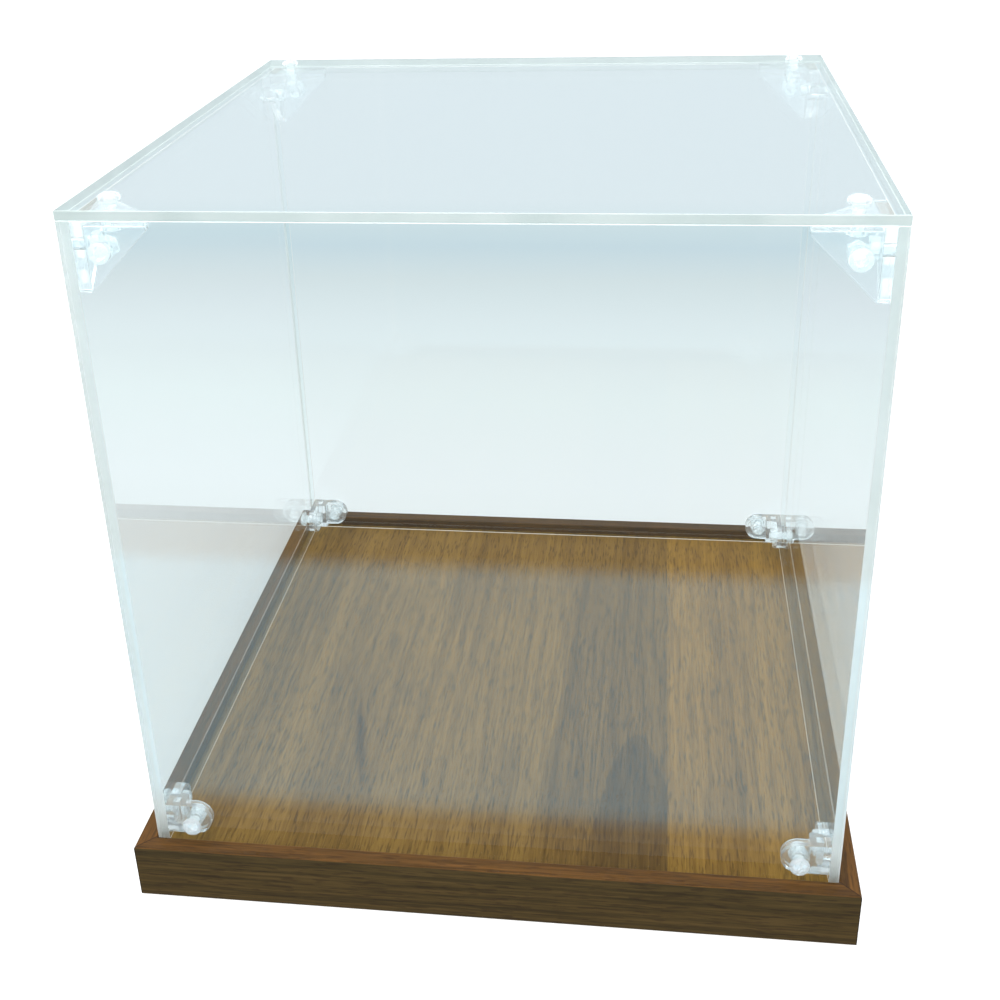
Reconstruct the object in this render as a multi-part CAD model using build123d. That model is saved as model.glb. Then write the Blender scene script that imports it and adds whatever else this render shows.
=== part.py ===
# Helmet display case: a clear acrylic cover that stands on a walnut-effect base.
# Origin: middle of the underside. +Z up, front of the case towards -Y, sizes in millimetres.

from build123d import *
import os

os.makedirs("parts", exist_ok=True)

# Wooden base: four mitred rails around a floor board
base_width = 350.0
base_depth = 350.0
base_height = 30.0
lip_width = 9.0
lip_height = 6.0
ledge_width = 18.0
board_thickness = 9.0
board_gap = 0.2
rail_edge_round = 0.8

# Clear cover: it stands on the floor board, inside the lip
cover_height = 326.0
cover_gap = 0.5
panel_thickness = 4.0

# Film of air left between pieces that are clamped or stood on each other
seat_gap = 0.1

# Clear plastic pan-head screws and hex nuts
screw_diameter = 5.0
screw_length = 12.0
head_diameter = 9.5
head_height = 3.0
head_crown_height = 1.6
head_crown_width = 1.9
slot_width = 1.2
slot_depth = 1.3
slot_turn = 40.0
nut_flats = 8.0
nut_height = 4.0
thread_gap = 0.1
screw_hole_gap = 0.25

# Three-way brackets in the top corners
top_leg = 31.5
top_tip_width = 5.2
top_plate = 4.0
top_tip_round = 1.0
top_inner_round = 0.8
top_hole_inset = 13.0

# Two-way brackets in the bottom corners
arm_height = 16.5
arm_plate = 3.0
arm_rim_height = 2.0
arm_rim_width = 1.3
arm_hole_inset = 14.5
block_size = 9.6
block_round = 1.2
pocket_size = 3.5
pocket_depth = 11.0
screw_level = 14.0

# Heights and inner faces that follow from the sizes above
floor_top = base_height - lip_height
ledge_height = floor_top - board_thickness
rail_width = lip_width + ledge_width
cover_width = base_width - 2 * (lip_width + cover_gap)
cover_depth = base_depth - 2 * (lip_width + cover_gap)
wall_foot = floor_top + seat_gap
ceiling = floor_top + cover_height - panel_thickness
wall_height = ceiling - seat_gap - wall_foot
inner_x = cover_width / 2 - panel_thickness
inner_y = cover_depth / 2 - panel_thickness
bracket_x = inner_x - seat_gap
bracket_y = inner_y - seat_gap
bracket_z = ceiling - seat_gap
bottom_screw_z = floor_top + screw_level

# The four corners, seen from above, in quarter turns from the back right one
corners = {
    "back_right": (1, 1, 0),
    "back_left": (-1, 1, 90),
    "front_left": (-1, -1, 180),
    "front_right": (1, -1, 270),
}
x_dir = Vector(1, 0, 0)
y_dir = Vector(0, 1, 0)
z_dir = Vector(0, 0, 1)


def save(shape, node):
    shape.label = node
    export_step(shape, f"parts/{node}.step")


def rail(run, setback):
    """Front rail of outside length run, its face setback in front of the centre, mitred at both ends."""
    profile = Polyline(
        (0, 0),
        (rail_width, 0),
        (rail_width, ledge_height),
        (lip_width, ledge_height),
        (lip_width, base_height),
        (0, base_height),
        close=True,
    )
    section = make_face(profile)
    eased = section.vertices().sort_by(Axis.X)[0:2]
    eased += [section.vertices().sort_by_distance((lip_width, base_height))[0]]
    section = fillet(eased, rail_edge_round)
    end = Plane(origin=(-run / 2, -setback, 0), x_dir=y_dir, z_dir=x_dir)
    bar = extrude(end * section, run)
    plan = Polyline(
        (-run / 2, -setback),
        (run / 2, -setback),
        (run / 2 - rail_width, rail_width - setback),
        (rail_width - run / 2, rail_width - setback),
        close=True,
    )
    return bar & extrude(make_face(plan), base_height)


def floor_board():
    """Board that fills the frame of rails, carried by their steps."""
    width = base_width - 2 * (lip_width + board_gap)
    depth = base_depth - 2 * (lip_width + board_gap)
    middle = ledge_height + board_thickness / 2
    return Pos(0, 0, middle) * Box(width, depth, board_thickness)


def fastening_points(sx, sy):
    """Top and bottom screws of one corner, as planes on the panels' outer faces that point outwards.

    Each plane's Y is the way the nut's flats face, so that the nuts of a corner clear each other.
    """
    out_x = x_dir * sx
    out_y = y_dir * sy
    side_x = sx * cover_width / 2
    side_y = sy * cover_depth / 2
    roof = ceiling + panel_thickness
    top_x = sx * (bracket_x - top_hole_inset)
    top_y = sy * (bracket_y - top_hole_inset)
    top_z = bracket_z - top_hole_inset
    low_x = sx * (bracket_x - arm_hole_inset)
    low_y = sy * (bracket_y - arm_hole_inset)
    top = [
        Plane((side_x, top_y, top_z), x_dir=y_dir, z_dir=out_x),
        Plane((top_x, side_y, top_z), x_dir=z_dir, z_dir=out_y),
        Plane((top_x, top_y, roof), x_dir=x_dir, z_dir=z_dir),
    ]
    bottom = [
        Plane((side_x, low_y, bottom_screw_z), x_dir=y_dir, z_dir=out_x),
        Plane((low_x, side_y, bottom_screw_z), x_dir=x_dir, z_dir=out_y),
    ]
    return top, bottom


def screw(turn):
    """Pan-head screw along -Z, with its head just off the XY plane and its slot turned by turn degrees."""
    head = Cylinder(head_diameter / 2, head_height, align=(Align.CENTER, Align.CENTER, Align.MIN))
    head = chamfer(head.edges().sort_by(Axis.Z)[-1], head_crown_height, head_crown_width)
    slot = Box(head_diameter, slot_width, slot_depth, align=(Align.CENTER, Align.CENTER, Align.MAX))
    head -= Pos(0, 0, head_height) * Rot(0, 0, turn) * slot
    shank = Cylinder(screw_diameter / 2, screw_length, align=(Align.CENTER, Align.CENTER, Align.MAX))
    return Pos(0, 0, seat_gap) * (head + shank)


def nut(plate):
    """Hex nut that lies against a bracket plate, inside the panel."""
    seat = -panel_thickness - plate - 2 * seat_gap
    ring = RegularPolygon(nut_flats / 2, 6, major_radius=False) - Circle(screw_diameter / 2 + thread_gap)
    return Pos(0, 0, seat) * extrude(ring, -nut_height)


def screw_hole(place):
    """Round hole through a panel, on a fastening point."""
    return place * Cylinder(screw_diameter / 2 + screw_hole_gap, 3 * panel_thickness)


def top_bracket():
    """Three equal triangular plates that meet in a corner at the origin, on the negative side of each axis."""
    outline = Polyline(
        (0, 0),
        (-top_leg, 0),
        (-top_leg, -top_tip_width),
        (-top_tip_width, -top_leg),
        (0, -top_leg),
        close=True,
    )
    triangle = make_face(outline)
    tips = [
        triangle.vertices().sort_by_distance((-top_leg, -top_tip_width))[0],
        triangle.vertices().sort_by_distance((-top_tip_width, -top_leg))[0],
    ]
    triangle = fillet(tips, top_tip_round)
    plate = extrude(triangle, -top_plate)
    plate -= Pos(-top_hole_inset, -top_hole_inset) * Cylinder(
        screw_diameter / 2 + screw_hole_gap, 3 * top_plate
    )
    diagonal = Axis((0, 0, 0), (1, 1, 1))
    bracket = plate + plate.rotate(diagonal, 120) + plate.rotate(diagonal, 240)
    inside = Vector(-top_plate, -top_plate, -top_plate)
    creases = [edge for edge in bracket.edges() if edge.distance_to(inside) < 0.01]
    return fillet(creases, top_inner_round)


def arm():
    """Round-ended arm along -X, against a wall on the XZ plane, with a raised rim around a sunk floor."""
    wall = Plane.XZ
    reach = Pos(-arm_hole_inset / 2, 0) * Rectangle(arm_hole_inset, arm_height)
    outline = reach + Pos(-arm_hole_inset, 0) * Circle(arm_height / 2)
    sunk_height = arm_height - 2 * arm_rim_width
    sunk_reach = Pos(-arm_hole_inset / 2, 0) * Rectangle(arm_hole_inset, sunk_height)
    sunk = sunk_reach + Pos(-arm_hole_inset, 0) * Circle(sunk_height / 2)
    whole = extrude(wall * outline, arm_plate + arm_rim_height)
    recess = extrude(wall.offset(arm_plate) * sunk, arm_rim_height)
    hole = Plane(origin=(-arm_hole_inset, 0, 0), z_dir=y_dir) * Cylinder(
        screw_diameter / 2 + screw_hole_gap, 3 * arm_plate
    )
    return whole - recess - hole


def bottom_bracket():
    """Two arms and a cored block in a corner at the origin, on the negative side of X and Y."""
    first = arm()
    second = first.rotate(Axis((0, 0, 0), (1, 1, 0)), 180)
    block = Pos(-block_size / 2, -block_size / 2) * Box(block_size, block_size, arm_height)
    inner_edge = block.edges().filter_by(Axis.Z).sort_by_distance((-block_size, -block_size, 0))[0]
    block = fillet(inner_edge, block_round)
    pocket = Box(pocket_size, pocket_size, pocket_depth, align=(Align.CENTER, Align.CENTER, Align.MAX))
    bracket = first + second + block
    return bracket - Pos(-block_size / 2, -block_size / 2, arm_height / 2) * pocket


# Base
sides = {
    "front": (base_width, base_depth / 2, 0),
    "right": (base_depth, base_width / 2, 90),
    "back": (base_width, base_depth / 2, 180),
    "left": (base_depth, base_width / 2, 270),
}
for side, (run, setback, turn) in sides.items():
    save(Rot(0, 0, turn) * rail(run, setback), f"rail_{side}")
save(floor_board(), "floor_board")

# Brackets, screws and nuts, corner by corner
holes = []
turn = 0.0
for corner, (sx, sy, quarter) in corners.items():
    corner_x = sx * bracket_x
    corner_y = sy * bracket_y
    bracket = Pos(corner_x, corner_y, bracket_z) * Rot(0, 0, quarter) * top_bracket()
    save(bracket, f"bracket_top_{corner}")
    bracket = Pos(corner_x, corner_y, bottom_screw_z) * Rot(0, 0, quarter) * bottom_bracket()
    save(bracket, f"bracket_bottom_{corner}")
    top, bottom = fastening_points(sx, sy)
    for level, places, plate in (("top", top, top_plate), ("bottom", bottom, arm_plate)):
        screws = []
        nuts = []
        for place in places:
            turn += slot_turn
            screws.append(place * screw(turn))
            nuts.append(place * nut(plate))
            holes.append(screw_hole(place))
        save(Compound(children=screws), f"screws_{level}_{corner}")
        save(Compound(children=nuts), f"nuts_{level}_{corner}")

# Panels: front and back cover the edges of the sides, the top covers all four
wall_middle = wall_foot + wall_height / 2
front_y = inner_y + panel_thickness / 2
side_x = inner_x + panel_thickness / 2
wide_panel = Box(cover_width, panel_thickness, wall_height)
side_panel = Box(panel_thickness, 2 * (inner_y - seat_gap), wall_height)
panels = {
    "panel_front": Pos(0, -front_y, wall_middle) * wide_panel,
    "panel_back": Pos(0, front_y, wall_middle) * wide_panel,
    "panel_left": Pos(-side_x, 0, wall_middle) * side_panel,
    "panel_right": Pos(side_x, 0, wall_middle) * side_panel,
    "panel_top": Pos(0, 0, ceiling + panel_thickness / 2) * Box(cover_width, cover_depth, panel_thickness),
}
for node, panel in panels.items():
    save(panel - holes, node)
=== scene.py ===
import math

import bmesh
import bpy
from mathutils import Matrix, Vector


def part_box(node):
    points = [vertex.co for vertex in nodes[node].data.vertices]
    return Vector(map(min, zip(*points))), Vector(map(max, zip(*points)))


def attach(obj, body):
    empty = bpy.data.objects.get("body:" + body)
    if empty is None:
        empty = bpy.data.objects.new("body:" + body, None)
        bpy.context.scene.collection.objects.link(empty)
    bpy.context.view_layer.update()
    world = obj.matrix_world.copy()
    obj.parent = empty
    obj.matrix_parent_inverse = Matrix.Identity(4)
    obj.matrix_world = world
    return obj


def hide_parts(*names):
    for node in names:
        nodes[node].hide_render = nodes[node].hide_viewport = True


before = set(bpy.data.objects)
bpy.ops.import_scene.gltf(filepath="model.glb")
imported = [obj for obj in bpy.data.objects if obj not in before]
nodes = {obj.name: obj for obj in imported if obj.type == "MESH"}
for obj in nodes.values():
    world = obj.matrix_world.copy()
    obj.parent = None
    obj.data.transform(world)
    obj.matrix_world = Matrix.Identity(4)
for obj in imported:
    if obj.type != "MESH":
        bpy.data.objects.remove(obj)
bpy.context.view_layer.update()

mm = 0.001
hair = 0.01 * mm  # points that are closer than this to a plane lie on it
X, Y, Z = range(3)

rails_along_x = ("rail_front", "rail_back")
rails_along_y = ("rail_left", "rail_right")
sheets = ("panel_front", "panel_back", "panel_left", "panel_right", "panel_top")
corners = {"back_right": (1, 1), "back_left": (-1, 1), "front_left": (-1, -1), "front_right": (1, -1)}

acrylic_ior = 1.49
polycarbonate_ior = 1.58
sheet_foot = 24.1 * mm  # how high the standing sheets' lower edges are, in the groove of the base

# The sockets of a Mix node that blends colours: it has the same names for numbers, so they go by number.
AMOUNT, UNDER, OVER, BLENDED = 0, 6, 7, 2


def colour(code):
    """An sRGB hex code as the linear colour that a shader takes."""
    channels = [int(code[i:i + 2], 16) / 255 for i in (1, 3, 5)]
    return [c / 12.92 if c <= 0.04045 else ((c + 0.055) / 1.055) ** 2.4 for c in channels] + [1.0]


def add(tree, kind, values=None, wires=None, **settings):
    """One shader node, with its settings, its plain input values, and the outputs led into its inputs."""
    node = tree.nodes.new(kind)
    for name, value in settings.items():
        setattr(node, name, value)
    for name, value in (values or {}).items():
        node.inputs[name].default_value = value
    for name, source in (wires or {}).items():
        tree.links.new(source, node.inputs[name])
    return node


def new_material(name):
    """An empty material and its node tree."""
    material = bpy.data.materials.new(name)
    material.use_nodes = True
    material.node_tree.nodes.clear()
    return material, material.node_tree


def set_stops(ramp, stops):
    """Puts stops on a colour ramp. Each is a place and a tone: a hex code, or a number where it is a mask."""
    elements = ramp.color_ramp.elements
    while len(elements) < len(stops):
        elements.new(0.5)
    for element, (place, tone) in zip(elements, stops):
        element.position = place
        element.color = colour(tone) if isinstance(tone, str) else (tone, tone, tone, 1.0)
    return ramp


def stretched(tree, place, across, along, run):
    """Coordinates in which a blotch is one unit: across mm wide, and along mm long on axis run, as the
    grain is."""
    scale = [1 / (across * mm)] * 3
    scale[run] = 1 / (along * mm)
    return add(tree, "ShaderNodeMapping", {"Scale": scale}, {"Vector": place}).outputs["Vector"]


def walnut(name, run, tones, ring_gap, figure=None):
    """Sliced walnut veneer under satin lacquer: growth lines about ring_gap mm apart that run with the grain,
    each one darkening slowly and ending sharply, short open pores, and a silky, slightly broken gloss.
    Pores are 0.15 mm wide on the real veneer and are drawn 0.5 mm wide, so that they show."""
    wander, shiver = 3.4, 0.5  # how far a growth line strays on its way, in gaps between lines
    bands_share, fibres_share, late_share = 0.36, 0.64, -0.24
    material, tree = new_material(name)
    place = add(tree, "ShaderNodeTexCoord").outputs["Object"]
    drift = add(tree, "ShaderNodeTexNoise", {"Scale": 1.0, "Detail": 2.0, "Roughness": 0.5},
                {"Vector": stretched(tree, place, 34, 210, run)})
    tremble = add(tree, "ShaderNodeTexNoise", {"Scale": 1.0, "Detail": 2.0, "Roughness": 0.5},
                  {"Vector": stretched(tree, place, 5, 22, run)})
    apart = add(tree, "ShaderNodeVectorMath", {}, {0: place}, operation="DOT_PRODUCT")
    across = [1.0, 1.0, 1.0]
    across[run] = 0.0
    apart.inputs[1].default_value = across
    rings = add(tree, "ShaderNodeMath", {1: 1 / (ring_gap * mm)}, {0: apart.outputs["Value"]},
                operation="MULTIPLY")
    rings = add(tree, "ShaderNodeMath", {1: wander}, {0: drift.outputs["Fac"], 2: rings.outputs[0]},
                operation="MULTIPLY_ADD")
    rings = add(tree, "ShaderNodeMath", {1: shiver}, {0: tremble.outputs["Fac"], 2: rings.outputs[0]},
                operation="MULTIPLY_ADD")
    ring = add(tree, "ShaderNodeMath", {}, {0: rings.outputs[0]}, operation="FRACT")
    late = set_stops(add(tree, "ShaderNodeValToRGB", {}, {"Fac": ring.outputs[0]}),
                     [(0.0, 1.0), (0.10, 0.25), (0.55, 0.0), (0.93, 0.55), (1.0, 1.0)])
    weight = add(tree, "ShaderNodeTexNoise", {"Scale": 1.0, "Detail": 1.0},
                 {"Vector": stretched(tree, place, 16, 120, run)})
    late = add(tree, "ShaderNodeMath", {}, {0: late.outputs["Color"], 1: weight.outputs["Fac"]},
               operation="MULTIPLY")

    bands = add(tree, "ShaderNodeTexNoise", {"Scale": 1.0, "Detail": 2.0, "Roughness": 0.5},
                {"Vector": stretched(tree, place, 22, 500, run)})
    fibres = add(tree, "ShaderNodeTexNoise", {"Scale": 1.0, "Detail": 3.0, "Roughness": 0.7},
                 {"Vector": stretched(tree, place, 1.4, 60, run)})
    pores = add(tree, "ShaderNodeTexNoise", {"Scale": 1.0, "Detail": 1.0, "Roughness": 0.4},
                {"Vector": stretched(tree, place, 0.9, 9, run)})
    blend = add(tree, "ShaderNodeMath", {1: bands_share}, {0: bands.outputs["Fac"]}, operation="MULTIPLY")
    blend = add(tree, "ShaderNodeMath", {1: fibres_share}, {0: fibres.outputs["Fac"], 2: blend.outputs[0]},
                operation="MULTIPLY_ADD")
    blend = add(tree, "ShaderNodeMath", {1: late_share}, {0: late.outputs[0], 2: blend.outputs[0]},
                operation="MULTIPLY_ADD")
    wood = set_stops(add(tree, "ShaderNodeValToRGB", {}, {"Fac": blend.outputs[0]}),
                     list(zip((0.30, 0.43, 0.51, 0.64), tones)))
    tone = wood.outputs["Color"]
    if figure:
        tone = figure(tree, place, tremble.outputs["Fac"], tone)
    else:
        # The rails get painted lamp light on their lips and painted bluish shade on their outer faces.
        tone = glue_line(tree, place, lit_lip_and_shaded_faces(tree, place, tone))
    open_pores = add(tree, "ShaderNodeMapRange", {"From Min": 0.56, "From Max": 0.66, "To Max": 0.42},
                     {"Value": pores.outputs["Fac"]})
    tone = add(tree, "ShaderNodeMix", {OVER: colour("#2A1A0E")}, {AMOUNT: open_pores.outputs[0], UNDER: tone},
               data_type="RGBA").outputs[BLENDED]

    gloss = add(tree, "ShaderNodeMapRange", {"From Min": 0.3, "From Max": 0.7, "To Min": 0.34, "To Max": 0.5},
                {"Value": fibres.outputs["Fac"]})
    depth = add(tree, "ShaderNodeMath", {1: -0.6}, {0: open_pores.outputs[0], 2: fibres.outputs["Fac"]},
                operation="MULTIPLY_ADD")
    grain = add(tree, "ShaderNodeBump", {"Strength": 0.35, "Distance": 0.08 * mm},
                {"Height": depth.outputs[0]})
    shader = add(tree, "ShaderNodeBsdfPrincipled", {"IOR": 1.5, "Specular IOR Level": 0.18},
                 {"Base Color": tone, "Roughness": gloss.outputs[0], "Normal": grain.outputs["Normal"]})
    add(tree, "ShaderNodeOutputMaterial", {}, {"Surface": shader.outputs["BSDF"]})
    return material


def off_middle(tree, place):
    """How far a point lies to either side of the case's middle, along x and along y."""
    split = add(tree, "ShaderNodeSeparateXYZ", {}, {"Vector": place})
    x = add(tree, "ShaderNodeMath", {}, {0: split.outputs["X"]}, operation="ABSOLUTE")
    y = add(tree, "ShaderNodeMath", {}, {0: split.outputs["Y"]}, operation="ABSOLUTE")
    return x.outputs[0], y.outputs[0]


def lit_lip_and_shaded_faces(tree, place, tone):
    """Painted light and shade on a rail's veneer: on top of the rail and inside its lip it is tinted warmer,
    as painted lamp light, and on its outer faces, 175 mm from the middle, cooler and less red, as painted
    bluish shade."""
    x, y = off_middle(tree, place)
    out = add(tree, "ShaderNodeMath", {}, {0: x, 1: y}, operation="MAXIMUM")
    on_lip = add(tree, "ShaderNodeMath", {1: 174.9 * mm}, {0: out.outputs[0]}, operation="LESS_THAN")
    leaf = add(tree, "ShaderNodeMix", {UNDER: colour("#D6F6FF"), OVER: colour("#FFFFF1")},
               {AMOUNT: on_lip.outputs[0]}, data_type="RGBA")
    return add(tree, "ShaderNodeMix", {AMOUNT: 1.0}, {UNDER: tone, OVER: leaf.outputs[BLENDED]},
               data_type="RGBA", blend_type="MULTIPLY").outputs[BLENDED]


def glue_line(tree, place, tone):
    """The dark line of glue where two rails meet in a mitre, 0.3 mm each side of the corner's diagonal."""
    x, y = off_middle(tree, place)
    off = add(tree, "ShaderNodeMath", {}, {0: x, 1: y}, operation="SUBTRACT")
    off = add(tree, "ShaderNodeMath", {}, {0: off.outputs[0]}, operation="ABSOLUTE")
    line = add(tree, "ShaderNodeMapRange", {"From Min": 0.55 * mm, "From Max": 0.25 * mm, "To Max": 0.75},
               {"Value": off.outputs[0]})
    return add(tree, "ShaderNodeMix", {OVER: colour("#1E130A")}, {AMOUNT: line.outputs[0], UNDER: tone},
               data_type="RGBA").outputs[BLENDED]


def plank_and_leaf(tree, x, y, soft_x):
    """Masks for all of the board left of its paler plank, which starts 86.4 mm right of the middle, and for
    the darker leaf beside that plank, whose left edge slants a little."""
    left_edge = add(tree, "ShaderNodeMath", {1: 0.055, 2: 28 * mm}, {0: y}, operation="MULTIPLY_ADD")
    past_left = add(tree, "ShaderNodeMath", {}, {0: soft_x, 1: left_edge.outputs[0]}, operation="SUBTRACT")
    past_left = add(tree, "ShaderNodeMapRange", {"From Min": -0.6 * mm, "From Max": 1.2 * mm},
                    {"Value": past_left.outputs[0]}, interpolation_type="SMOOTHSTEP")
    short_of_plank = add(tree, "ShaderNodeMapRange", {"From Min": 86.6 * mm, "From Max": 86.2 * mm},
                         {"Value": x})
    leaf = add(tree, "ShaderNodeMath", {}, {0: past_left.outputs[0], 1: short_of_plank.outputs[0]},
               operation="MULTIPLY")
    return short_of_plank, leaf


def heart_arch(tree, y, soft_x, leaf):
    """A mask for the pointed arch of a flat-sawn heart in the leaf. Its tip is 56 mm before the middle and
    71.5 mm right of it, and it widens with the root of the way from its tip to the front."""
    below_tip = add(tree, "ShaderNodeMath", {0: -56 * mm}, {1: y}, operation="SUBTRACT")
    below_tip = add(tree, "ShaderNodeMath", {1: 0.0}, {0: below_tip.outputs[0]}, operation="MAXIMUM")
    half_width = add(tree, "ShaderNodeMath", {}, {0: below_tip.outputs[0]}, operation="SQRT")
    half_width = add(tree, "ShaderNodeMath", {1: 0.079}, {0: half_width.outputs[0]}, operation="MULTIPLY")
    off_axis = add(tree, "ShaderNodeMath", {1: 71.5 * mm}, {0: soft_x}, operation="SUBTRACT")
    off_axis = add(tree, "ShaderNodeMath", {}, {0: off_axis.outputs[0]}, operation="ABSOLUTE")
    within = add(tree, "ShaderNodeMath", {}, {0: half_width.outputs[0], 1: off_axis.outputs[0]},
                 operation="SUBTRACT")
    arch = add(tree, "ShaderNodeMapRange", {"From Min": 0.0, "From Max": 1.6 * mm},
               {"Value": within.outputs[0]}, interpolation_type="SMOOTHSTEP")
    return add(tree, "ShaderNodeMath", {}, {0: arch.outputs[0], 1: leaf.outputs[0]}, operation="MULTIPLY")


def dark_feather(tree, y, soft_x):
    """A mask for a slim dark mark that runs from 14 to 128 mm before the middle and drifts 24 mm to the
    right on its way, up to 9 mm wide and pointed at both ends."""
    half_width = 4.5 * mm
    down = add(tree, "ShaderNodeMapRange", {"From Min": -14 * mm, "From Max": -128 * mm}, {"Value": y})
    swell = add(tree, "ShaderNodeMath", {1: math.pi}, {0: down.outputs[0]}, operation="MULTIPLY")
    swell = add(tree, "ShaderNodeMath", {}, {0: swell.outputs[0]}, operation="SINE")
    spine = add(tree, "ShaderNodeMath", {1: 24 * mm, 2: -93 * mm}, {0: down.outputs[0]},
                operation="MULTIPLY_ADD")
    off_spine = add(tree, "ShaderNodeMath", {}, {0: soft_x, 1: spine.outputs[0]}, operation="SUBTRACT")
    off_spine = add(tree, "ShaderNodeMath", {}, {0: off_spine.outputs[0]}, operation="ABSOLUTE")
    feather = add(tree, "ShaderNodeMath", {1: half_width}, {0: swell.outputs[0]}, operation="MULTIPLY")
    feather = add(tree, "ShaderNodeMath", {}, {0: feather.outputs[0], 1: off_spine.outputs[0]},
                  operation="SUBTRACT")
    return add(tree, "ShaderNodeMapRange", {"From Min": 0.0, "From Max": half_width},
               {"Value": feather.outputs[0]}, interpolation_type="SMOOTHSTEP")


def board_figure(tree, place, tremble, tone):
    """The floor board's own marks: a paler plank on the right, a darker leaf of veneer beside it with the
    arch of a heart at its front end, and a narrow dark feather left of the middle."""
    split = add(tree, "ShaderNodeSeparateXYZ", {}, {"Vector": place})
    x, y = split.outputs["X"], split.outputs["Y"]
    soft_x = add(tree, "ShaderNodeMath", {1: 3 * mm}, {0: tremble, 2: x}, operation="MULTIPLY_ADD").outputs[0]
    short_of_plank, leaf = plank_and_leaf(tree, x, y, soft_x)
    arch = heart_arch(tree, y, soft_x, leaf)
    feather = dark_feather(tree, y, soft_x)
    plank = add(tree, "ShaderNodeMath", {0: 1.0}, {1: short_of_plank.outputs[0]}, operation="SUBTRACT")
    for mask, shade in ((plank, "#FFF9E0"), (short_of_plank, "#EFEDE8"), (leaf, "#EAE8E6"),
                        (arch, "#DEDCE0"), (feather, "#C6BEB6")):
        tone = add(tree, "ShaderNodeMix", {OVER: colour(shade)}, {AMOUNT: mask.outputs[0], UNDER: tone},
                   data_type="RGBA", blend_type="MULTIPLY").outputs[BLENDED]
    return tone


def let_light_through(tree, shader, tint):
    """Lamp light passes a clear piece straight, tinted, as it does the real one. The eye sees the shader."""
    open_way = add(tree, "ShaderNodeBsdfTransparent", {"Color": tint})
    ray = add(tree, "ShaderNodeLightPath")
    mix = add(tree, "ShaderNodeMixShader", {},
              {0: ray.outputs["Is Shadow Ray"], 1: shader, 2: open_way.outputs[0]})
    add(tree, "ShaderNodeOutputMaterial", {}, {"Surface": mix.outputs[0]})


def cast_acrylic_face():
    """Cast acrylic sheet as cast against glass: a dead flat mirror gloss that grows as the sheet turns
    away, a breath of blue green in what is seen through it, and the faintest wipe marks in the gloss."""
    material, tree = new_material("cast_acrylic_face")
    place = add(tree, "ShaderNodeTexCoord").outputs["Object"]
    wipes = add(tree, "ShaderNodeTexNoise", {"Scale": 1.0, "Detail": 2.0},
                {"Vector": stretched(tree, place, 9, 70, Z)})
    gloss = add(tree, "ShaderNodeMapRange",
                {"From Min": 0.5, "From Max": 0.8, "To Min": 0.0, "To Max": 0.003},
                {"Value": wipes.outputs["Fac"]})
    inside = add(tree, "ShaderNodeNewGeometry").outputs["Backfacing"]
    bend = add(tree, "ShaderNodeMapRange", {"To Min": acrylic_ior, "To Max": 1 / acrylic_ior},
               {"Value": inside})
    share = add(tree, "ShaderNodeFresnel", {}, {"IOR": bend.outputs[0]})
    clear = add(tree, "ShaderNodeBsdfTransparent", {"Color": colour("#FCFEFE")})
    mirror = add(tree, "ShaderNodeBsdfGlossy", {"Color": colour("#FFFFFF")}, {"Roughness": gloss.outputs[0]})
    sheet = add(tree, "ShaderNodeMixShader", {},
                {0: share.outputs[0], 1: clear.outputs[0], 2: mirror.outputs[0]})
    add(tree, "ShaderNodeOutputMaterial", {}, {"Surface": sheet.outputs[0]})
    return material


def sawn_acrylic_edge(name, shade, light):
    """The sheet's sawn and scraped edge: fine cross marks 0.8 mm apart, and a pale green white painted glow,
    brightest in the lowest millimetre, along the sheet's foot, where the edge gives off light of its own."""
    material, tree = new_material(name)
    place = add(tree, "ShaderNodeTexCoord").outputs["Object"]
    marks = add(tree, "ShaderNodeTexNoise", {"Scale": 1.0, "Detail": 2.0},
                {"Vector": stretched(tree, place, 0.8, 3, Z)})
    cloud = add(tree, "ShaderNodeTexNoise", {"Scale": 1.0, "Detail": 2.0},
                {"Vector": stretched(tree, place, 26, 60, Z)})
    tone = set_stops(add(tree, "ShaderNodeValToRGB", {}, {"Fac": cloud.outputs["Fac"]}),
                     [(0.35, shade), (0.65, light)])
    scratch = add(tree, "ShaderNodeBump", {"Strength": 0.3, "Distance": 0.05 * mm},
                  {"Height": marks.outputs["Fac"]})
    height = add(tree, "ShaderNodeSeparateXYZ", {}, {"Vector": place}).outputs["Z"]
    # Painted glow: the foot of the edge gives off pale green white light of its own.
    painted_glow = add(tree, "ShaderNodeMapRange",
                {"From Min": sheet_foot + 1.3 * mm, "From Max": sheet_foot + 0.8 * mm, "To Max": 0.55},
                {"Value": height})
    shader = add(tree, "ShaderNodeBsdfPrincipled",
                 {"IOR": acrylic_ior, "Roughness": 0.28, "Transmission Weight": 0.15,
                  "Emission Color": colour("#F2F4EC")},
                 {"Base Color": tone.outputs["Color"], "Normal": scratch.outputs["Normal"],
                  "Emission Strength": painted_glow.outputs[0]})
    let_light_through(tree, shader.outputs["BSDF"], colour("#E8F6F4"))
    return material


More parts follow.
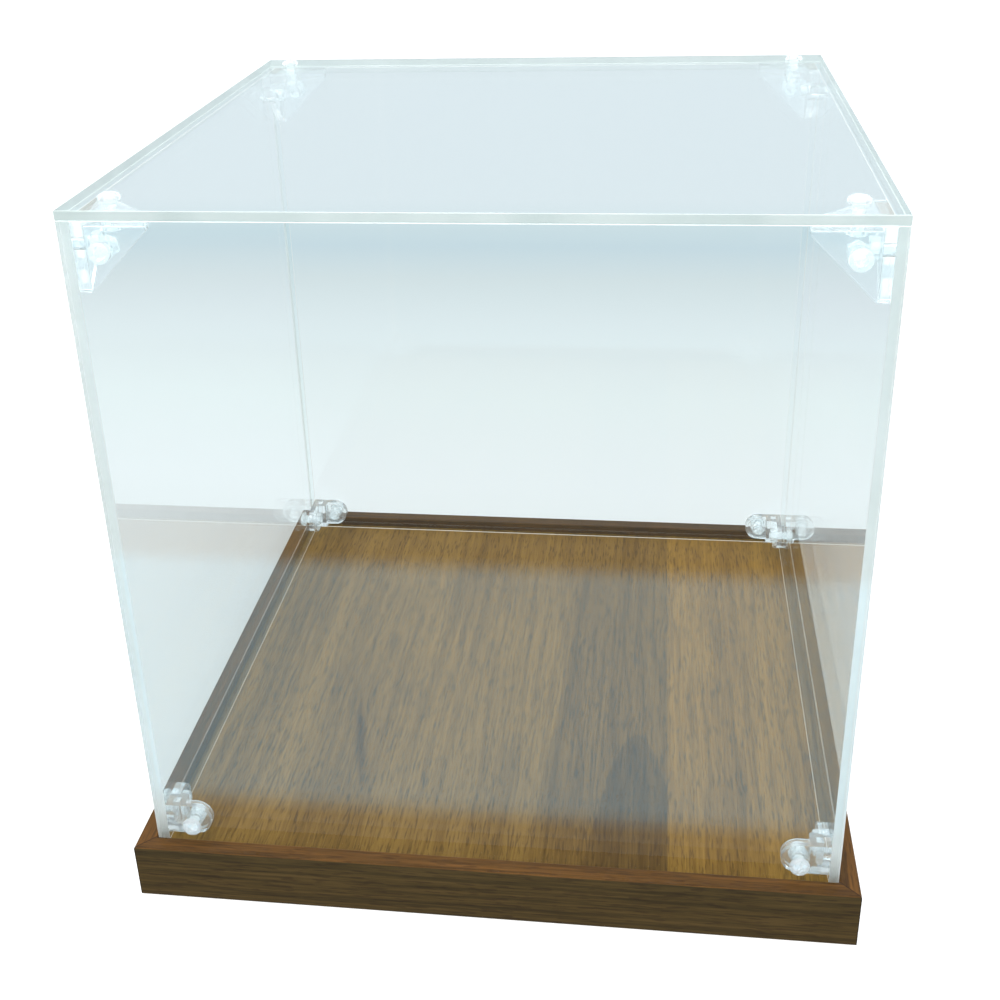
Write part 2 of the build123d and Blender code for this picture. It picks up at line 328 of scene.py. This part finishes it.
def moulded_polycarbonate(name, tint, roughness, ripple, clearness):
    """Clear polycarbonate from a polished mould: glassy and bright at every edge, with the slow ripple of
    melt that has shrunk in the mould, about 3 mm from crest to crest."""
    material, tree = new_material(name)
    place = add(tree, "ShaderNodeTexCoord").outputs["Object"]
    melt = add(tree, "ShaderNodeTexNoise", {"Scale": 1 / (3 * mm), "Detail": 2.0}, {"Vector": place})
    haze = add(tree, "ShaderNodeTexNoise", {"Scale": 1 / (0.7 * mm), "Detail": 2.0}, {"Vector": place})
    gloss = add(tree, "ShaderNodeMapRange",
                {"From Min": 0.35, "From Max": 0.7, "To Min": roughness * 0.5, "To Max": roughness},
                {"Value": haze.outputs["Fac"]})
    wave = add(tree, "ShaderNodeBump", {"Strength": ripple, "Distance": 0.12 * mm},
               {"Height": melt.outputs["Fac"]})
    shader = add(tree, "ShaderNodeBsdfPrincipled",
                 {"Base Color": tint, "IOR": polycarbonate_ior, "Transmission Weight": clearness},
                 {"Roughness": gloss.outputs[0], "Normal": wave.outputs["Normal"]})
    let_light_through(tree, shader.outputs["BSDF"], tint)
    return material


def dress(node, materials):
    """Puts materials on a CAD node in place of its plain ones."""
    node.data.materials.clear()
    for material in materials:
        node.data.materials.append(material)


def scrape_edges(sheet, low, high, thin):
    """Breaks a sheet's outer edges by 0.3 mm, so that they catch light as scraped ones do. Hole rims stay
    sharp, and so does the foot of a standing sheet, but for its inner edge at the sides and the back. That
    one is broken by 0.7 mm and shows as a bright line along the floor board, lit by the edge's painted glow."""
    foot_break = 0.7 * mm
    outer_share = 0.43
    inner_face = {"panel_left": high[X], "panel_right": low[X], "panel_back": low[Y]}.get(sheet.name)
    points = sheet.data.vertices

    def on_rim(point):
        return [axis for axis in (X, Y, Z) if min(point[axis] - low[axis], high[axis] - point[axis]) < hair]

    weights = sheet.data.attributes.new("bevel_weight_edge", "FLOAT", "EDGE")
    for edge in sheet.data.edges:
        a, b = (points[i].co for i in edge.vertices)
        shared = [axis for axis in on_rim(a) if axis in on_rim(b) and abs(a[axis] - b[axis]) < hair]
        foot = thin != Z and max(a.z, b.z) < low[Z] + hair
        inner_foot = (foot and inner_face is not None
                      and abs(a[thin] - inner_face) + abs(b[thin] - inner_face) < 2 * hair)
        broken = len(shared) == 2 and (inner_foot or not foot)
        weights.data[edge.index].value = (1.0 if inner_foot else outer_share) if broken else 0.0
    weld = sheet.modifiers.new("joined_faces", "WELD")
    weld.merge_threshold = 0.005 * mm
    bevel = sheet.modifiers.new("scraped_edges", "BEVEL")
    bevel.width = foot_break
    bevel.segments = 2
    bevel.limit_method = "WEIGHT"
    bevel.material = 1


def shade_smooth(mesh):
    """Shades a mesh smooth, with a crease wherever it turns by more than 35 degrees."""
    mesh.polygons.foreach_set("use_smooth", [True] * len(mesh.polygons))
    mesh.set_sharp_from_angle(angle=math.radians(35))


def mesh_object(name, points, faces):
    """A piece from its points in metres and its faces."""
    mesh = bpy.data.meshes.new(name)
    mesh.from_pydata(points, [], faces)
    shade_smooth(mesh)
    piece = bpy.data.objects.new(name, mesh)
    bpy.context.scene.collection.objects.link(piece)
    return piece


def turned(rings, steps):
    """Points and faces of a body turned about Z from rings of (radius, height), which may vary with the
    angle."""
    points = []
    for radius, height in rings:
        for step in range(steps):
            angle = math.tau * step / steps
            r = radius(angle) if callable(radius) else radius
            z = height(angle) if callable(height) else height
            points.append((r * math.cos(angle), r * math.sin(angle), z))
    faces = []
    for ring in range(len(rings) - 1):
        for step in range(steps):
            beside = (step + 1) % steps
            faces.append((ring * steps + step, ring * steps + beside,
                          (ring + 1) * steps + beside, (ring + 1) * steps + step))
    return points, faces


def screw_shape():
    """A moulded M5 screw, head up, its head seated on the XY plane: a domed slotted head and a round-crested
    thread of 0.8 mm pitch that starts 1.6 mm below it."""
    steps, rows_in_turn, dome_rings = 20, 5, 8
    length, pitch, plain_neck = 12 * mm, 0.8 * mm, 1.6 * mm
    crest, thread_depth, point_taper = 2.5, 0.42, 0.5  # in mm, as the head's measures are
    head, seat, rim, dome = 4.75, 4.55, 1.1, 1.9
    rows = int(length / pitch * rows_in_turn)
    rings = [(0.05 * mm, -length)]
    for row in range(rows + 1):
        depth = length * (rows - row) / rows
        run_in = min(1.0, max(0.0, (depth - plain_neck) / (0.8 * mm)))
        point = min(1.0, (length - depth) / (1.0 * mm))

        def radius(angle, depth=depth, run_in=run_in, point=point):
            wave = 0.5 + 0.5 * math.cos(math.tau * (depth / pitch - angle / math.tau))
            return (crest - thread_depth * run_in * (1 - wave) - point_taper * (1 - point)) * mm

        rings.append((radius, -depth))
    rings += [(seat * mm, 0.0), (head * mm, 0.2 * mm), (head * mm, rim * mm)]
    for ring in range(1, dome_rings + 1):
        lean = math.pi / 2 * ring / dome_rings
        rings.append((max(head * math.cos(lean), 0.02) * mm, (rim + dome * math.sin(lean)) * mm))
    points, faces = turned(rings, steps)
    faces.append(tuple(reversed(range(steps))))
    faces.append(tuple(range(len(points) - steps, len(points))))
    whole = mesh_object("screw_shape", points, faces)

    half_slot, past_head = 0.6 * mm, 6 * mm
    slot_floor, over_head = 1.7 * mm, 3.6 * mm
    slot_points = [(x, y, z) for z in (slot_floor, over_head) for x, y in
                   ((-past_head, -half_slot), (past_head, -half_slot),
                    (past_head, half_slot), (-past_head, half_slot))]
    slot_faces = [(3, 2, 1, 0), (4, 5, 6, 7), (0, 1, 5, 4), (1, 2, 6, 5), (2, 3, 7, 6), (3, 0, 4, 7)]
    cutter = mesh_object("slot_cutter", slot_points, slot_faces)
    cut = whole.modifiers.new("slot", "BOOLEAN")
    cut.object = cutter
    cut.operation = "DIFFERENCE"
    cut.solver = "EXACT"
    bpy.context.view_layer.update()
    shape = bpy.data.meshes.new_from_object(whole.evaluated_get(bpy.context.evaluated_depsgraph_get()))
    bpy.data.objects.remove(cutter)
    bpy.data.objects.remove(whole)
    return shape


def nut_shape():
    """A moulded hex nut, 8 mm across its flats and 4 mm thick, its seat on the XY plane and its body below,
    with its corners turned off at 30 degrees and its bore eased at both ends."""
    steps = 48
    half_flats, thick, turned_off = 4 * mm, 4 * mm, 3.85 * mm
    bore, eased_bore, easing = 2.6 * mm, 2.95 * mm, 0.35 * mm

    def hex_radius(angle):
        return half_flats / math.cos((angle % (math.pi / 3)) - math.pi / 6)

    def fall(angle):
        return (hex_radius(angle) - turned_off) * math.tan(math.radians(30))

    rings = [(bore, -easing), (bore, -thick + easing), (eased_bore, -thick), (turned_off, -thick),
             (hex_radius, lambda angle: -thick + fall(angle)), (hex_radius, lambda angle: -fall(angle)),
             (turned_off, 0.0), (eased_bore, 0.0), (bore, -easing)]
    nut = mesh_object("nut_shape", *turned(rings, steps))
    shape = nut.data
    joined = bmesh.new()
    joined.from_mesh(shape)
    bmesh.ops.remove_doubles(joined, verts=joined.verts, dist=0.001 * mm)
    bmesh.ops.recalc_face_normals(joined, faces=joined.faces)
    joined.to_mesh(shape)
    joined.free()
    bpy.data.objects.remove(nut)
    return shape


def fastening_places(sx, sy):
    """Frames of one corner's top and bottom screws on the sheets' outer faces: Z points out of the sheet,
    and X the way that one of the nut's six corners points."""
    side, roof = 165.5 * mm, 350 * mm
    top_at, top_height, low_at, low_height = 148.4 * mm, 332.9 * mm, 146.9 * mm, 38 * mm
    x, y, z = Vector((1, 0, 0)), Vector((0, 1, 0)), Vector((0, 0, 1))

    def frame_at(point, x_dir, z_dir):
        turn = Matrix((x_dir, z_dir.cross(x_dir), z_dir)).transposed().to_4x4()
        return Matrix.Translation(point) @ turn

    top = [frame_at((sx * side, sy * top_at, top_height), y, x * sx),
           frame_at((sx * top_at, sy * side, top_height), z, y * sy),
           frame_at((sx * top_at, sy * top_at, roof), x, z)]
    bottom = [frame_at((sx * side, sy * low_at, low_height), y, x * sx),
              frame_at((sx * low_at, sy * side, low_height), x, y * sy)]
    return top, bottom


def gather(name, shape, places, material, node):
    """One piece of several copies of a shape, in place of a CAD node of the cover."""
    joined = bmesh.new()
    for place in places:
        before = len(joined.verts)
        joined.from_mesh(shape)
        joined.verts.ensure_lookup_table()
        bmesh.ops.transform(joined, matrix=place, verts=joined.verts[before:])
    mesh = bpy.data.meshes.new(name)
    joined.to_mesh(mesh)
    joined.free()
    mesh.materials.clear()
    mesh.materials.append(material)
    mesh.polygons.foreach_set("material_index", [0] * len(mesh.polygons))
    shade_smooth(mesh)
    piece = bpy.data.objects.new(name, mesh)
    bpy.context.scene.collection.objects.link(piece)
    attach(piece, "cover")
    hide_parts(node)


def fit_fasteners(material):
    """Each corner's three top and two bottom screws with their nuts. Every screw is left at its own turn of
    the slot, 0.1 mm off its sheet, and every nut under its bracket's plate."""
    screw = screw_shape()
    nut = nut_shape()
    head_gap, sheet_and_gaps = 0.1 * mm, 4.2 * mm
    plates = {"top": 4 * mm, "bottom": 3 * mm}
    turn, turn_between = 0, 40
    for corner, (sx, sy) in corners.items():
        for level, places in zip(plates, fastening_places(sx, sy)):
            driven = []
            seated = []
            for place in places:
                turn += turn_between
                driven.append(place @ Matrix.Translation((0, 0, head_gap))
                              @ Matrix.Rotation(math.radians(turn), 4, "Z"))
                seated.append(place @ Matrix.Translation((0, 0, -sheet_and_gaps - plates[level])))
            gather(f"slotted_screws_{level}_{corner}", screw, driven, material, f"screws_{level}_{corner}")
            gather(f"hex_nuts_{level}_{corner}", nut, seated, material, f"nuts_{level}_{corner}")


def finish_base():
    """Rails with the grain along each of them, and the floor board with it from front to back."""
    rail_tones = ("#402A11", "#503517", "#5E3E1B", "#6D4823")
    board_tones = ("#6C5022", "#7B5C2A", "#866630", "#937138")
    along_x = walnut("walnut_veneer_rail_along_x", X, rail_tones, 6)
    along_y = walnut("walnut_veneer_rail_along_y", Y, rail_tones, 6)
    board = walnut("walnut_veneer_board", Y, board_tones, 9, board_figure)
    for name in rails_along_x:
        dress(nodes[name], [along_x])
    for name in rails_along_y:
        dress(nodes[name], [along_y])
    dress(nodes["floor_board"], [board])


def finish_cover():
    """Sheets with polished faces and sawn edges, and the clear brackets, screws and nuts that hold them.
    The saw shows at both ends of the front and back sheets, at the front ends of the side sheets and around
    the top."""
    face = cast_acrylic_face()
    # Painted light and shade: the standing sheets and the top have the same sawn edge, paler on the standing
    # sheets and darker on the top for how light falls on each.
    lit_upright_edge = sawn_acrylic_edge("sawn_acrylic_edge_upright_painted_light", "#ECECE9", "#F7F6F4")
    shaded_top_edge = sawn_acrylic_edge("sawn_acrylic_edge_top_painted_shade", "#C8D2CE", "#D5DDD9")
    bracket = moulded_polycarbonate("clear_moulded_polycarbonate", colour("#FCFEFF"), 0.08, 0.25, 0.89)
    fastener = moulded_polycarbonate("clear_moulded_fastener", colour("#FAFDFE"), 0.14, 0.15, 0.75)
    for name in sheets:
        sheet = nodes[name]
        dress(sheet, [face, shaded_top_edge if name == "panel_top" else lit_upright_edge])
        low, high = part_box(name)
        thin = min((X, Y, Z), key=lambda axis: high[axis] - low[axis])
        sawn_ends = {X: ((Y, low),), Y: ((X, low), (X, high)),
                     Z: ((X, low), (X, high), (Y, low), (Y, high))}[thin]
        points = sheet.data.vertices
        for polygon in sheet.data.polygons:
            spots = [points[i].co for i in polygon.vertices]
            sawn = any(all(abs(spot[axis] - end[axis]) < hair for spot in spots) for axis, end in sawn_ends)
            polygon.material_index = 1 if sawn else 0
            polygon.use_smooth = False
        if "custom_normal" in sheet.data.attributes:
            sheet.data.attributes.remove(sheet.data.attributes["custom_normal"])
        scrape_edges(sheet, low, high, thin)
    for corner in corners:
        for level in ("top", "bottom"):
            dress(nodes[f"bracket_{level}_{corner}"], [bracket])
    fit_fasteners(fastener)


def seen_directly(tree):
    """One where the eye looks straight at the surroundings, nought where it sees them in or through the
    case."""
    ray = add(tree, "ShaderNodeLightPath")
    unveiled = add(tree, "ShaderNodeMath", {1: 0.5}, {0: ray.outputs["Transparent Depth"]},
                   operation="LESS_THAN")
    return add(tree, "ShaderNodeMath", {}, {0: unveiled.outputs[0], 1: ray.outputs["Is Camera Ray"]},
               operation="MULTIPLY").outputs[0]


def lay_table():
    """The white table. The eye sees it plain white. Every other ray sees it glow with a painted map of light
    and shade in place of being lit. Through the sheets it is paler or bluer with the way from the case's
    middle. Mirrored in the nearest sheet it has a band of painted bright light before the case and the case's
    painted shadow nearest to it, and mirrored deeper inside it is painted dull there. The tones are given at
    half their brightness, so that all of them are hex codes."""
    half_side, reach = 6.0, 1.5
    mesh = bpy.data.meshes.new("table")
    top = bmesh.new()
    bmesh.ops.create_grid(top, x_segments=8, y_segments=8, size=half_side)
    top.to_mesh(mesh)
    top.free()
    table = bpy.data.objects.new("table", mesh)
    table.location.z = -0.3 * mm
    bpy.context.scene.collection.objects.link(table)
    material, tree = new_material("white_paper_table")
    split = add(tree, "ShaderNodeSeparateXYZ", {},
                {"Vector": add(tree, "ShaderNodeTexCoord").outputs["Object"]})
    front_to_back = add(tree, "ShaderNodeMapRange", {"From Min": -reach, "From Max": reach},
                        {"Value": split.outputs["Y"]})
    away = add(tree, "ShaderNodeMath", {}, {0: split.outputs["Y"]}, operation="ABSOLUTE")
    away = add(tree, "ShaderNodeMapRange", {"From Max": reach}, {"Value": away.outputs[0]})
    through = set_stops(add(tree, "ShaderNodeValToRGB", {}, {"Fac": away.outputs[0]}),
                        [(0.0, "#BDC0C0"), (0.19, "#BBBEC0"), (0.3, "#B7BCBD"), (0.43, "#AFB4B6"),
                         (0.52, "#A6ACAE"), (0.6, "#9BA6AC"), (0.66, "#A0AAAE"), (0.74, "#A8AEB2")])
    back_half = [(0.5, "#B3B7B7"), (0.595, "#BBBEC0"), (0.65, "#B7BCBD"), (0.74, "#ACAFB3"),
                 (0.79, "#A4AAAD"), (0.82, "#97A4AA"), (0.87, "#A8AEB2")]
    # Painted light and shade: a bright band on the table before the case, and the case's painted shadow
    # between that band and the case.
    near = set_stops(add(tree, "ShaderNodeValToRGB", {}, {"Fac": front_to_back.outputs[0]}),
                     [(0.0, "#828F95"), (0.3, "#747E82"), (0.3335, "#3F3F3F"), (0.3388, "#3F3F3F"),
                      (0.3412, "#8FCFED"), (0.423, "#8FCFED"), (0.4242, "#6C6C6C")] + back_half)
    deep = set_stops(add(tree, "ShaderNodeValToRGB", {}, {"Fac": front_to_back.outputs[0]}),
                     [(0.0, "#828F95"), (0.42, "#89979E"), (0.46, "#7E8182")] + back_half)
    ray = add(tree, "ShaderNodeLightPath")
    nearest_sheet = add(tree, "ShaderNodeMath", {1: 2.5}, {0: ray.outputs["Transparent Depth"]},
                        operation="LESS_THAN")
    mirrored = add(tree, "ShaderNodeMix", {},
                   {AMOUNT: nearest_sheet.outputs[0], UNDER: deep.outputs["Color"],
                    OVER: near.outputs["Color"]}, data_type="RGBA")
    veiled = add(tree, "ShaderNodeMix", {},
                 {AMOUNT: ray.outputs["Is Glossy Ray"], UNDER: through.outputs["Color"],
                  OVER: mirrored.outputs[BLENDED]}, data_type="RGBA")
    painted_table_light = add(tree, "ShaderNodeEmission", {"Strength": 2.0}, {"Color": veiled.outputs[BLENDED]})
    own_light = add(tree, "ShaderNodeEmission", {"Color": colour("#FFFFFF"), "Strength": 0.8})
    paper = add(tree, "ShaderNodeBsdfDiffuse", {"Color": colour("#BCBCBC")})
    seen_plainly = add(tree, "ShaderNodeAddShader", {}, {0: own_light.outputs[0], 1: paper.outputs[0]})
    mix = add(tree, "ShaderNodeMixShader", {},
              {0: seen_directly(tree), 1: painted_table_light.outputs[0], 2: seen_plainly.outputs[0]})
    add(tree, "ShaderNodeOutputMaterial", {}, {"Surface": mix.outputs[0]})
    mesh.materials.append(material)


def light_room():
    """White surroundings for the eye, a pale blue grey room for the reflections, and two softboxes that no
    sheet mirrors: a large one overhead and a small one on the right."""
    world = bpy.data.worlds.new("studio")
    bpy.context.scene.world = world
    world.use_nodes = True
    tree = world.node_tree
    tree.nodes.clear()
    split = add(tree, "ShaderNodeSeparateXYZ", {},
                {"Vector": add(tree, "ShaderNodeTexCoord").outputs["Generated"]})
    walls = set_stops(add(tree, "ShaderNodeValToRGB", {}, {"Fac": split.outputs["Z"]}),
                      [(0.0, "#DFEDF3"), (0.35, "#E7F1F6"), (0.9, "#F9FCFF")])
    room = add(tree, "ShaderNodeBackground", {"Strength": 1.0}, {"Color": walls.outputs["Color"]})
    white = add(tree, "ShaderNodeBackground", {"Color": colour("#FFFFFF"), "Strength": 1.05})
    mix = add(tree, "ShaderNodeMixShader", {},
              {0: seen_directly(tree), 1: room.outputs[0], 2: white.outputs[0]})
    add(tree, "ShaderNodeOutputWorld", {}, {"Surface": mix.outputs[0]})
    middle_of_case = Vector((0, 0, 0.15))
    for name, place, size, power in (("softbox_overhead", (-0.25, -0.35, 1.7), 1.3, 27),
                                     ("softbox_right", (1.5, -0.9, 1.1), 0.8, 6)):
        lamp = bpy.data.lights.new(name, "AREA")
        lamp.shape = "SQUARE"
        lamp.size = size
        lamp.energy = power
        softbox = bpy.data.objects.new(name, lamp)
        softbox.location = place
        softbox.visible_glossy = False
        softbox.rotation_euler = (middle_of_case - Vector(place)).to_track_quat("-Z", "Y").to_euler()
        bpy.context.scene.collection.objects.link(softbox)


def set_camera():
    """The photograph's viewpoint: a hand's breadth right of the middle, above the lid, looking down into the
    case."""
    eye = (0.0717, -0.6638, 0.4944)
    yaw, pitch, roll = math.radians(-8.234), math.radians(25.599), math.radians(-2.020)
    ahead = Vector((math.sin(yaw) * math.cos(pitch), math.cos(yaw) * math.cos(pitch), -math.sin(pitch)))
    right = Vector((math.cos(yaw), -math.sin(yaw), 0))
    up = right.cross(ahead)
    side = right * math.cos(roll) + up * math.sin(roll)
    top = up * math.cos(roll) - right * math.sin(roll)
    lens = bpy.data.cameras.new("view")
    lens.sensor_width = 36
    lens.lens = 48.75
    lens.shift_x = 0.0279
    lens.shift_y = -0.0583
    lens.clip_start = 0.01
    camera = bpy.data.objects.new("view", lens)
    turn = Matrix((side, top, -ahead)).transposed().to_4x4()
    camera.matrix_world = Matrix.Translation(eye) @ turn
    bpy.context.scene.collection.objects.link(camera)
    bpy.context.scene.camera = camera


def set_bounces():
    """Enough bounces for a ray to cross the case's five sheets twice and still leave it."""
    cycles = bpy.context.scene.cycles
    cycles.max_bounces = 32
    cycles.transmission_bounces = 32
    cycles.transparent_max_bounces = 32
    cycles.glossy_bounces = 8
    bpy.context.scene.view_settings.view_transform = "Standard"


set_camera()
light_room()
lay_table()
finish_base()
finish_cover()
set_bounces()
